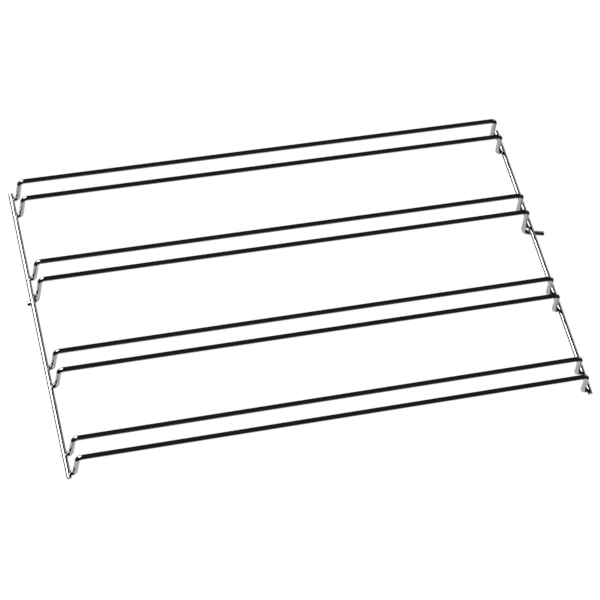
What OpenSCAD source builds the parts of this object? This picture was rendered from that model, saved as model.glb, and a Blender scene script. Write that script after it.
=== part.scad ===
// Oven shelf runner: one side rack of welded round wire.
// X runs along the runners, Y along the two uprights, Z stands out of the oven wall.
// Eight bent runner wires in four pairs are welded by their feet to the inner side of two uprights.
// The ends of one runner pass the uprights and leave as hooks that enter holes in the oven wall.

/* [Wire] */
// Diameter of every wire
wire_d = 3.5; // [2.5:0.25:5]
// Chamfer on the cut ends of the uprights and hooks
end_chamfer = 0.3; // [0.1:0.05:0.5]

/* [Uprights] */
// Distance between the axes of the two uprights
upright_span = 380; // [250:5:450]
// Length by which the uprights run past the outermost runners
upright_overhang = 4; // [3:0.5:20]

/* [Runners] */
// Height of the runners above the uprights, axis to axis
runner_height = 20; // [14:0.5:35]
// Slot of a pair for the edge of a tray, axis to axis
pair_gap = 15; // [8:0.5:22]
// Pitch from the top pair to the second pair
pitch_top = 71; // [40:0.5:110]
// Pitch from the second pair to the third pair
pitch_middle = 75.5; // [40:0.5:110]
// Pitch from the third pair to the bottom pair
pitch_bottom = 69.5; // [40:0.5:110]

/* [Runner ends] */
// Inside radius of the bend from a runner into its leg
top_bend_inner = 1.75; // [1:0.25:6]
// Inside radius of the bend from a leg into its foot
foot_bend_inner = 0.85; // [0.5:0.05:1.2]
// Angle by which the legs lean outwards on the way down
leg_splay = 4; // [0:0.5:10]
// Clear space between a leg and its upright, beside the weld
leg_clearance = 1.1; // [0.8:0.1:4]
// Depth of a foot's axis below the upright's axis
foot_drop = 0.75; // [0:0.05:1]
// Depth to which the weld lets the wires into each other
weld_set = 0.6; // [0.3:0.05:0.9]
// Thinning of the wire where it is bent
bend_thinning = 0.02; // [0.01:0.005:0.08]

/* [Wall hooks] */
// Depth below the upright's axis at which a hook's bend starts
hook_start_depth = 2.5; // [2.5:0.5:10]
// Centreline radius of the hook's bend
hook_bend_r = 8; // [6:0.5:14]
// Angle by which a hook's tail still points down towards the wall
hook_tail_angle = 20; // [10:1:35]
// Straight tail of the long hook, at the right-hand upright
long_tail = 14.1; // [6:0.1:25]
// Straight tail of the short hook, at the left-hand upright
short_tail = 2.1; // [1.5:0.1:12]
// Diameter of the weld that joins a hook's leg to the side of its upright
hook_weld_d = 2.8; // [1.8:0.1:4]

/* [Hidden] */
$fn = 48;
wire_r = wire_d / 2;
bend_wire_r = (wire_d - bend_thinning) / 2;
// A straight tapers a little way into the end of a bend, so that the two are one wire
taper_r = wire_r - bend_thinning;
taper_length = 0.1;
upright_x = upright_span / 2;

// Runner positions along the uprights, from the top runner down
first_y = (pitch_top + pitch_middle + pitch_bottom + pair_gap) / 2;
pair_y = [
  first_y,
  first_y - pitch_top,
  first_y - pitch_top - pitch_middle,
  first_y - pitch_top - pitch_middle - pitch_bottom
];
upright_length = 2 * (first_y + upright_overhang);

// Centreline of one end, in the X-Z plane: corners first, then the tangent points
top_bend_r = wire_r + top_bend_inner;
foot_bend_r = wire_r + foot_bend_inner;
bend_turn = 90 - leg_splay;
leg_x = upright_x - wire_d - leg_clearance;
top_corner_x = leg_x - runner_height * tan(leg_splay);
foot_corner_x = leg_x + foot_drop * tan(leg_splay);
top_tangent = top_bend_r * tan(bend_turn / 2);
foot_tangent = foot_bend_r * tan(bend_turn / 2);
bar_half = top_corner_x - top_tangent;
weld_plane_x = upright_x - wire_r + weld_set;

// Centre of the hook's bend, and the point where its straight tail starts
hook_start_x = leg_x + hook_start_depth * tan(leg_splay);
hook_turn = bend_turn - hook_tail_angle;
hook_cx = hook_start_x + hook_bend_r * cos(leg_splay);
hook_cz = -hook_start_depth + hook_bend_r * sin(leg_splay);
tail_x = hook_cx - hook_bend_r * sin(hook_tail_angle);
tail_z = hook_cz - hook_bend_r * cos(hook_tail_angle);

// The middle of the whole rack becomes the origin
tail_rise = (wire_r - end_chamfer) * sin(hook_tail_angle);
long_x = tail_x + long_tail * cos(hook_tail_angle) + tail_rise;
short_x = max(tail_x + short_tail * cos(hook_tail_angle) + tail_rise, upright_x + wire_r);
deep_tail = max(long_tail, short_tail) - end_chamfer;
lowest_z = tail_z - deep_tail * sin(hook_tail_angle) - wire_r * cos(hook_tail_angle);
mid_x = (long_x - short_x) / 2;
mid_z = (runner_height + wire_r + lowest_z) / 2;

// Far end of a straight: tapered into the next bend, cut square for a weld, or cut with a chamfer
function into_bend(length) = [
  [wire_r, length],
  [taper_r, length + taper_length],
  [0, length + taper_length]
];
function to_weld(length) = [
  [wire_r, length],
  [0, length]
];
function to_cut(length) = [
  [wire_r, length - end_chamfer],
  [wire_r - end_chamfer, length],
  [0, length]
];

// Straight wire in the X-Z plane that starts where a bend ends; heading 0 is +X and 90 is +Z
module straight(x, z, heading, far_end) {
  near_end = [
    [0, -taper_length],
    [taper_r, -taper_length],
    [wire_r, 0]
  ];
  translate([x, 0, z])
    rotate([0, 90 - heading, 0])
      rotate_extrude()
        polygon(concat(near_end, far_end));
}

// Bent wire in the X-Z plane, around its own centre
module bend(x, z, radius, start_angle, turn) {
  translate([x, 0, z])
    rotate([90, 0, 0])
      rotate([0, 0, start_angle])
        rotate_extrude(angle = turn)
          translate([radius, 0])
            circle(r = bend_wire_r);
}

// Bend and leg at the right-hand end of a runner; the leg's length is counted from the bend's corner
module leg(from_corner) {
  bend(bar_half, runner_height - top_bend_r, top_bend_r, leg_splay, bend_turn);
  straight(
    top_corner_x + top_tangent * sin(leg_splay),
    runner_height - top_tangent * cos(leg_splay),
    leg_splay - 90,
    into_bend(from_corner - top_tangent)
  );
}

// Leg that turns outwards into a foot, which butts on the inner side of the upright
module footed_end() {
  foot_x = foot_corner_x + foot_tangent;
  leg((runner_height + foot_drop) / cos(leg_splay) - foot_tangent);
  bend(foot_x, foot_bend_r - foot_drop, foot_bend_r, 180 + leg_splay, bend_turn);
  straight(foot_x, -foot_drop, 0, to_weld(weld_plane_x - foot_x));
}

// Leg that is welded to the side of the upright, passes it and turns outwards into a hook
module hooked_end(tail) {
  leg((runner_height + hook_start_depth) / cos(leg_splay));
  translate([foot_corner_x, 0, -foot_drop])
    rotate([0, 90, 0])
      cylinder(h = weld_plane_x - foot_corner_x, d = hook_weld_d);
  bend(hook_cx, hook_cz, hook_bend_r, 180 + leg_splay, hook_turn);
  straight(tail_x, tail_z, -hook_tail_angle, to_cut(tail));
}

module bar() {
  straight(-bar_half, runner_height, 0, into_bend(2 * bar_half));
}

// From the uprights' plane to the middle of the whole rack
module placed() {
  translate([-mid_x, 0, -mid_z])
    children();
}

// Moves a runner to its place, with its ends coped to the round of both uprights
module fitted(y) {
  placed()
    difference() {
      translate([0, y, 0])
        children();
      for (side = [-1, 1])
        translate([side * upright_x, y, 0])
          rotate([90, 0, 0])
            cylinder(h = 2 * wire_d, r = wire_r, center = true);
    }
}

module footed_runner(y) {
  fitted(y) {
    bar();
    footed_end();
    mirror([1, 0, 0]) footed_end();
  }
}

module hooked_runner(y) {
  fitted(y) {
    bar();
    hooked_end(long_tail);
    mirror([1, 0, 0]) hooked_end(short_tail);
  }
}

// Straight wire along Y, cut with a chamfer at both ends
module upright(side) {
  half = upright_length / 2;
  placed()
    translate([side * upright_x, 0, 0])
      rotate([90, 0, 0])
        rotate_extrude()
          polygon([
            [0, -half],
            [wire_r - end_chamfer, -half],
            [wire_r, end_chamfer - half],
            [wire_r, half - end_chamfer],
            [wire_r - end_chamfer, half],
            [0, half]
          ]);
}

module upright_left() {
  color("silver") upright(-1);
}

module upright_right() {
  color("silver") upright(1);
}

module runner_1() {
  color("gainsboro") footed_runner(pair_y[0]);
}

module runner_2() {
  color("gainsboro") footed_runner(pair_y[0] - pair_gap);
}

module runner_3() {
  color("gainsboro") footed_runner(pair_y[1]);
}

// The hooks are the ends of this runner
module runner_4() {
  color("lightsteelblue") hooked_runner(pair_y[1] - pair_gap);
}

module runner_5() {
  color("gainsboro") footed_runner(pair_y[2]);
}

module runner_6() {
  color("gainsboro") footed_runner(pair_y[2] - pair_gap);
}

module runner_7() {
  color("gainsboro") footed_runner(pair_y[3]);
}

module runner_8() {
  color("gainsboro") footed_runner(pair_y[3] - pair_gap);
}

upright_left();
upright_right();
runner_1();
runner_2();
runner_3();
runner_4();
runner_5();
runner_6();
runner_7();
runner_8();
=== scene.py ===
import math
import bmesh
import bpy
from mathutils import Matrix, Vector


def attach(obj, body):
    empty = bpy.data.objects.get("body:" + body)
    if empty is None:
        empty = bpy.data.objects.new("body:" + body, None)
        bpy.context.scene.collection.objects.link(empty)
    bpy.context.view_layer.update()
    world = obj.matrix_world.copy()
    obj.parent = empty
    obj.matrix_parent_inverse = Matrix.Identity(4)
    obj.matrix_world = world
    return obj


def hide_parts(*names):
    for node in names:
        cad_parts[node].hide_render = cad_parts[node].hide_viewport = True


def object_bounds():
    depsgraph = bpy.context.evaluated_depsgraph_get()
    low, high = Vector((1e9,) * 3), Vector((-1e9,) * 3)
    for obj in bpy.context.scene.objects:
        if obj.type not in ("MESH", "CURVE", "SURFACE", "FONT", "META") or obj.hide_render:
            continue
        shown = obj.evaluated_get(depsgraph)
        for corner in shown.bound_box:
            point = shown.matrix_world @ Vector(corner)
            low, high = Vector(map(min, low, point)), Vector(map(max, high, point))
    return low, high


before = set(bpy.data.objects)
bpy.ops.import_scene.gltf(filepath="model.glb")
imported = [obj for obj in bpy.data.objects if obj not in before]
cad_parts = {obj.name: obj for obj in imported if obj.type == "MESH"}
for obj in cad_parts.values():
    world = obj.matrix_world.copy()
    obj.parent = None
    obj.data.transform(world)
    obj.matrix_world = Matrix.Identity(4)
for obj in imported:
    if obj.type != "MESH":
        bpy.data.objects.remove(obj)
cad_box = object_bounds()
MM = 0.001

# Camera
# The rack lies on its wall side, and a long lens looks down on it from the
# front left, 57 degrees above the floor.
SENSOR_WIDTH = 36
LENS = 122.616
CLIP_START = 0.05
CAMERA_RIGHT = Vector((0.96436, -0.23769, 0.11624))
CAMERA_DOWN = Vector((-0.14104, -0.83348, -0.53424))
CAMERA_FORWARD = Vector((0.22387, 0.49881, -0.83730))
CAMERA_PLACE = Vector((-338.39, -748.94, 1243.77))

camera = bpy.data.objects.new("camera", bpy.data.cameras.new("camera"))
bpy.context.scene.collection.objects.link(camera)
bpy.context.scene.camera = camera
camera.data.sensor_width = SENSOR_WIDTH
camera.data.lens = LENS
camera.data.clip_start = CLIP_START
camera_turn = Matrix((CAMERA_RIGHT, -CAMERA_DOWN, -CAMERA_FORWARD)).transposed()
camera.matrix_world = Matrix.Translation(CAMERA_PLACE * MM) @ camera_turn.to_4x4()
bpy.context.scene.view_settings.view_transform = "Standard"

# Studio
# A soft lamp at the far left and a pale card at the right. The room around
# them stays dark, which gives the bright wire its black streaks, and it is
# pale only below. Seen straight on, the table and the room are plain white.
WHITE = (1.0, 1.0, 1.0, 1.0)
TABLE_GREY = (0.8, 0.8, 0.8, 1.0)
ROOM_GLOW = 0.018
BELOW_GLOW = 0.62
CARD_GLOW = 0.5
CARD_AIM = (0.80, 0.50, 0.20)
LAMP_SIZE = 0.8
LAMP_POWER = 14
LAMP_AIM = Vector((-0.60, 0.50, 0.62))
LAMP_DISTANCE = 1.3
TABLE_HALF = 1.5


class Reading:
    """One socket of a shader; sums and products of readings add Math nodes."""

    def __init__(self, finish, socket):
        self.finish = finish
        self.socket = socket

    def math(self, operation, other):
        return self.finish.add("ShaderNodeMath", {"operation": operation}, {0: self, 1: other})

    def __add__(self, other):
        return self.math("ADD", other)

    def __mul__(self, other):
        return self.math("MULTIPLY", other)

    __radd__ = __add__
    __rmul__ = __mul__

    def above(self, low, high):
        """0 below low, 1 above high and a smooth step between them."""
        return self.finish.add(
            "ShaderNodeMapRange",
            {"interpolation_type": "SMOOTHSTEP", "clamp": True},
            {"Value": self, "From Min": low, "From Max": high},
        )


class Finish:
    """The nodes of one material or of the room."""

    def __init__(self, owner):
        owner.use_nodes = True
        self.tree = owner.node_tree
        self.tree.nodes.clear()

    def add(self, kind, settings=None, sockets=None, out=0):
        """One node: its settings first, then the values or links of its sockets."""
        node = self.tree.nodes.new(kind)
        for name, value in (settings or {}).items():
            setattr(node, name, value)
        for name, value in (sockets or {}).items():
            if isinstance(value, Reading):
                self.tree.links.new(value.socket, node.inputs[name])
            else:
                node.inputs[name].default_value = value
        return Reading(self, node.outputs[out]) if node.outputs else None


room_world = bpy.data.worlds.new("room")
bpy.context.scene.world = room_world
room = Finish(room_world)
direction = room.add("ShaderNodeTexCoord", out="Generated")
seen = room.add("ShaderNodeLightPath", out="Is Camera Ray")
height = room.add("ShaderNodeSeparateXYZ", sockets={"Vector": direction}, out="Z")
to_card = room.add(
    "ShaderNodeVectorMath",
    {"operation": "DOT_PRODUCT"},
    {0: direction, 1: Vector(CARD_AIM).normalized()},
    out="Value",
)
pale_below = (height * -1.0).above(0.60, 0.80)
right_card = to_card.above(0.90, 0.97)
glow = ROOM_GLOW + BELOW_GLOW * pale_below + CARD_GLOW * right_card
dark_room = room.add("ShaderNodeBackground", sockets={"Color": WHITE, "Strength": glow})
white_room = room.add("ShaderNodeBackground", sockets={"Color": WHITE, "Strength": 1.0})
room_seen = room.add("ShaderNodeMixShader", sockets={0: seen, 1: dark_room, 2: white_room})
room.add("ShaderNodeOutputWorld", sockets={"Surface": room_seen})

lamp_data = bpy.data.lights.new("soft_lamp", "AREA")
lamp_data.shape = "RECTANGLE"
lamp_data.size = LAMP_SIZE
lamp_data.size_y = LAMP_SIZE
lamp_data.energy = LAMP_POWER
lamp = bpy.data.objects.new("soft_lamp", lamp_data)
bpy.context.scene.collection.objects.link(lamp)
lamp_place = LAMP_AIM * LAMP_DISTANCE
lamp_turn = lamp_place.to_track_quat("Z", "Y").to_matrix().to_4x4()
lamp.matrix_world = Matrix.Translation(lamp_place) @ lamp_turn

table_top = cad_box[0].z
table_corners = [
    (side_x * TABLE_HALF, side_y * TABLE_HALF, table_top)
    for side_x, side_y in ((-1, -1), (1, -1), (1, 1), (-1, 1))
]
table_mesh = bpy.data.meshes.new("table")
table_mesh.from_pydata(table_corners, [], [(0, 1, 2, 3)])
table = bpy.data.objects.new("table", table_mesh)
bpy.context.scene.collection.objects.link(table)
table_material = bpy.data.materials.new("table")
table_paint = Finish(table_material)
table_seen = table_paint.add("ShaderNodeLightPath", out="Is Camera Ray")
table_lit = table_paint.add("ShaderNodeBsdfDiffuse", sockets={"Color": TABLE_GREY})
table_white = table_paint.add("ShaderNodeEmission", sockets={"Color": WHITE, "Strength": 1.0})
table_mix = table_paint.add("ShaderNodeMixShader", sockets={0: table_seen, 1: table_lit, 2: table_white})
table_paint.add("ShaderNodeOutputMaterial", sockets={"Surface": table_mix})
table_mesh.materials.append(table_material)
table.visible_glossy = False

# Uprights
# Two straight rods of drawn steel wire, cut to length with a small chamfer and
# chrome-plated bright after welding. The drawing leaves faint lines along them.
WIRE_R = 1.75
END_CHAMFER = 0.3
SPAN = 380.0
UPRIGHT_HALF = 119.5
SIDES = 36
SHARP_EDGE = math.radians(35)
# From the origin of these sizes, midway between the uprights, to the frame's
MIDDLE = Vector((5.63816, 0.0, 2.96309))
CHROME = (0.60, 0.60, 0.61, 1.0)
LINE_SCALE = 2500.0
LINE_STRETCH = (1.0, 1.0, 0.04)
LINE_STRENGTH = 0.08
LINE_DEPTH = 0.00005
DULL_SCALE = 180.0
POLISHED = 0.05
DULLED_BY = 0.10

chrome = bpy.data.materials.new("chrome_wire")
plate = Finish(chrome)
drawn = plate.add("ShaderNodeAttribute", {"attribute_name": "drawn"}, out="Vector")
along = plate.add("ShaderNodeMapping", sockets={"Vector": drawn, "Scale": LINE_STRETCH})
drawing_lines = plate.add(
    "ShaderNodeTexNoise", sockets={"Vector": along, "Scale": LINE_SCALE, "Detail": 3.0})
dulling = plate.add(
    "ShaderNodeTexNoise", sockets={"Vector": drawn, "Scale": DULL_SCALE, "Detail": 4.0})
bump = plate.add(
    "ShaderNodeBump",
    sockets={"Strength": LINE_STRENGTH, "Distance": LINE_DEPTH, "Height": drawing_lines},
    out="Normal",
)
metal = plate.add("ShaderNodeBsdfPrincipled", sockets={
    "Base Color": CHROME,
    "Metallic": 1.0,
    "Roughness": POLISHED + DULLED_BY * dulling.above(0.35, 0.75),
    "Normal": bump,
})
plate.add("ShaderNodeOutputMaterial", sockets={"Surface": metal})


def ring(centre, side, other, radius, reach):
    """A ring of points round the wire, with where each lies on the straight wire before bending."""
    points = []
    for step in range(SIDES):
        turn = 2 * math.pi * step / SIDES
        off_side, off_other = radius * math.cos(turn), radius * math.sin(turn)
        place = centre + side * off_side + other * off_other
        points.append((place, Vector((off_side, off_other, reach))))
    return points


def skin(name, rings, caps):
    """One closed wire from rings and the middles of its two ends."""
    shape = bpy.data.meshes.new(name)
    build = bmesh.new()
    drawn_layer = build.verts.layers.float_vector.new("drawn")

    def vertex(point, straight):
        made = build.verts.new((point - MIDDLE) * MM)
        made[drawn_layer] = straight * MM
        return made

    loops = [[vertex(*point) for point in each] for each in rings]
    for first, second in zip(loops, loops[1:]):
        for step in range(SIDES):
            following = (step + 1) % SIDES
            build.faces.new((first[step], first[following], second[following], second[step]))
    for loop, cap in ((loops[0], caps[0]), (loops[-1], caps[1])):
        middle = vertex(*cap)
        for step in range(SIDES):
            build.faces.new((loop[step], loop[(step + 1) % SIDES], middle))
    bmesh.ops.recalc_face_normals(build, faces=build.faces)
    build.to_mesh(shape)
    build.free()
    shape.shade_smooth()
    shape.set_sharp_from_angle(angle=SHARP_EDGE)
    shape.materials.append(chrome)
    wire = bpy.data.objects.new(name, shape)
    bpy.context.scene.collection.objects.link(wire)
    return wire


X_AXIS, Y_AXIS, Z_AXIS = Vector((1, 0, 0)), Vector((0, 1, 0)), Vector((0, 0, 1))
for side, node in ((-1, "upright_left"), (1, "upright_right")):
    rings = []
    for y, radius in (
        (-UPRIGHT_HALF, WIRE_R - END_CHAMFER),
        (END_CHAMFER - UPRIGHT_HALF, WIRE_R),
        (UPRIGHT_HALF - END_CHAMFER, WIRE_R),
        (UPRIGHT_HALF, WIRE_R - END_CHAMFER),
    ):
        rings.append(ring(Vector((side * SPAN / 2, y, 0)), X_AXIS, Z_AXIS, radius, y))
    ends = [
        (Vector((side * SPAN / 2, y, 0)), Vector((0, 0, y)))
        for y in (-UPRIGHT_HALF, UPRIGHT_HALF)
    ]
    upright = skin(node + "_wire", rings, ends)
    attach(upright, "root")
    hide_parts(node)

# Runners
# Eight wires of the same rod, each bent cold into a long straight with a leg
# at both ends. Seven turn out into feet that are welded to the uprights; one
# goes on past them as a hook at each end.
RUNNER_Z = 20.0
PAIR_GAP = 15.0
PAIR_PITCHES = (71.0, 75.5, 69.5)
TOP_BEND = 3.5
FOOT_BEND = 2.6
HOOK_BEND = 8.0
SPLAY = math.radians(4)
LEG_X = 185.4
FOOT_Z = -0.75
WELD_SET = 0.6
WELD_X = SPAN / 2 - WIRE_R + WELD_SET
HOOK_START = -2.5
TAIL_ANGLE = math.radians(20)
LONG_TAIL = 14.1
SHORT_TAIL = 2.1
HOOKED = 3
BAR_STEPS = 6
TOP_STEPS = 14
FOOT_STEPS = 12
HOOK_STEPS = 16

runner_y = []
pair_y = (sum(PAIR_PITCHES) + PAIR_GAP) / 2
for pitch in PAIR_PITCHES + (0.0,):
    runner_y += [pair_y, pair_y - PAIR_GAP]
    pair_y -= pitch


class Bender:
    """Follows a wire outwards in the X-Z plane and notes a ring at each step."""

    def __init__(self, x, z, heading, reach):
        self.x, self.z, self.heading, self.reach = x, z, heading, reach
        self.marks = []

    def mark(self, radius=WIRE_R):
        self.marks.append((self.x, self.z, self.heading, self.reach, radius))

    def run(self, length):
        self.x += length * math.cos(self.heading)
        self.z += length * math.sin(self.heading)
        self.reach += length

    def bend(self, radius, turn, steps):
        for _ in range(steps):
            half_turn = turn / steps / 2
            chord = 2 * radius * math.sin(abs(half_turn))
            self.heading += half_turn
            self.x += chord * math.cos(self.heading)
            self.z += chord * math.sin(self.heading)
            self.heading += half_turn
            self.reach += radius * abs(turn / steps)
            self.mark()


def half_runner(tail):
    """From the middle of a runner out to its right-hand foot, or to the end of its hook."""
    bend_turn = math.pi / 2 - SPLAY
    top_tangent = TOP_BEND * math.tan(bend_turn / 2)
    corner_x = LEG_X - RUNNER_Z * math.tan(SPLAY)
    wire = Bender(0.0, RUNNER_Z, 0.0, 0.0)
    for _ in range(BAR_STEPS):
        wire.mark()
        wire.run((corner_x - top_tangent) / BAR_STEPS)
    wire.mark()
    wire.bend(TOP_BEND, -bend_turn, TOP_STEPS)
    if tail is None:
        foot_tangent = FOOT_BEND * math.tan(bend_turn / 2)
        wire.run((RUNNER_Z - FOOT_Z) / math.cos(SPLAY) - top_tangent - foot_tangent)
        wire.mark()
        wire.bend(FOOT_BEND, bend_turn, FOOT_STEPS)
        wire.run(WELD_X - wire.x)
        wire.mark()
        return wire.marks
    wire.run((RUNNER_Z - HOOK_START) / math.cos(SPLAY) - top_tangent)
    wire.mark()
    wire.bend(HOOK_BEND, bend_turn - TAIL_ANGLE, HOOK_STEPS)
    wire.run(tail - END_CHAMFER)
    wire.mark()
    wire.run(END_CHAMFER)
    wire.mark(WIRE_R - END_CHAMFER)
    return wire.marks


def seat(x, z):
    """Where a foot stops at this height: its own flat end, or sooner on the round of the upright."""
    if abs(z) >= WIRE_R:
        return x
    return min(x, SPAN / 2 - math.sqrt(WIRE_R ** 2 - z ** 2))


for number, y in enumerate(runner_y):
    tails = (SHORT_TAIL, LONG_TAIL) if number == HOOKED else (None, None)
    rings, middles = [], []
    left = [(-x, z, -heading, -reach, radius) for x, z, heading, reach, radius in half_runner(tails[0])]
    for x, z, heading, reach, radius in left[:0:-1] + half_runner(tails[1]):
        across = Vector((-math.sin(heading), 0, math.cos(heading)))
        rings.append(ring(Vector((x, y, z)), across, Y_AXIS, radius, reach))
        middles.append((Vector((x, y, z)), Vector((0, 0, reach))))
    ends = [middles[0], middles[-1]]
    if number != HOOKED:
        for place, _ in rings[0] + rings[-1] + ends:
            place.x = math.copysign(seat(abs(place.x), place.z), place.x)
    node = "runner_%d" % (number + 1)
    runner = skin(node + "_wire", rings, ends)
    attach(runner, "root")
    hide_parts(node)

# Hook welds
# The hooked wire has no feet, so a round stub of weld joins each of its legs
# to the inner side of the upright that it passes.
WELD_R = 1.4
LEG_AXIS_X = LEG_X - FOOT_Z * math.tan(SPLAY)
WELD_REACH = WELD_X - LEG_AXIS_X

for side, name in ((-1, "left"), (1, "right")):
    leg_middle = Vector((side * LEG_AXIS_X, runner_y[HOOKED], FOOT_Z))
    upright_face = Vector((side * seat(WELD_X, FOOT_Z), runner_y[HOOKED], FOOT_Z))
    rings = [
        ring(leg_middle, Z_AXIS, Y_AXIS, WELD_R, 0),
        ring(upright_face, Z_AXIS, Y_AXIS, WELD_R, WELD_REACH),
    ]
    for place, _ in rings[1]:
        place.x = side * seat(WELD_X, place.z)
    ends = [(leg_middle, Vector((0, 0, 0))), (upright_face, Vector((0, 0, WELD_REACH)))]
    weld = skin("hook_weld_" + name, rings, ends)
    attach(weld, "root")
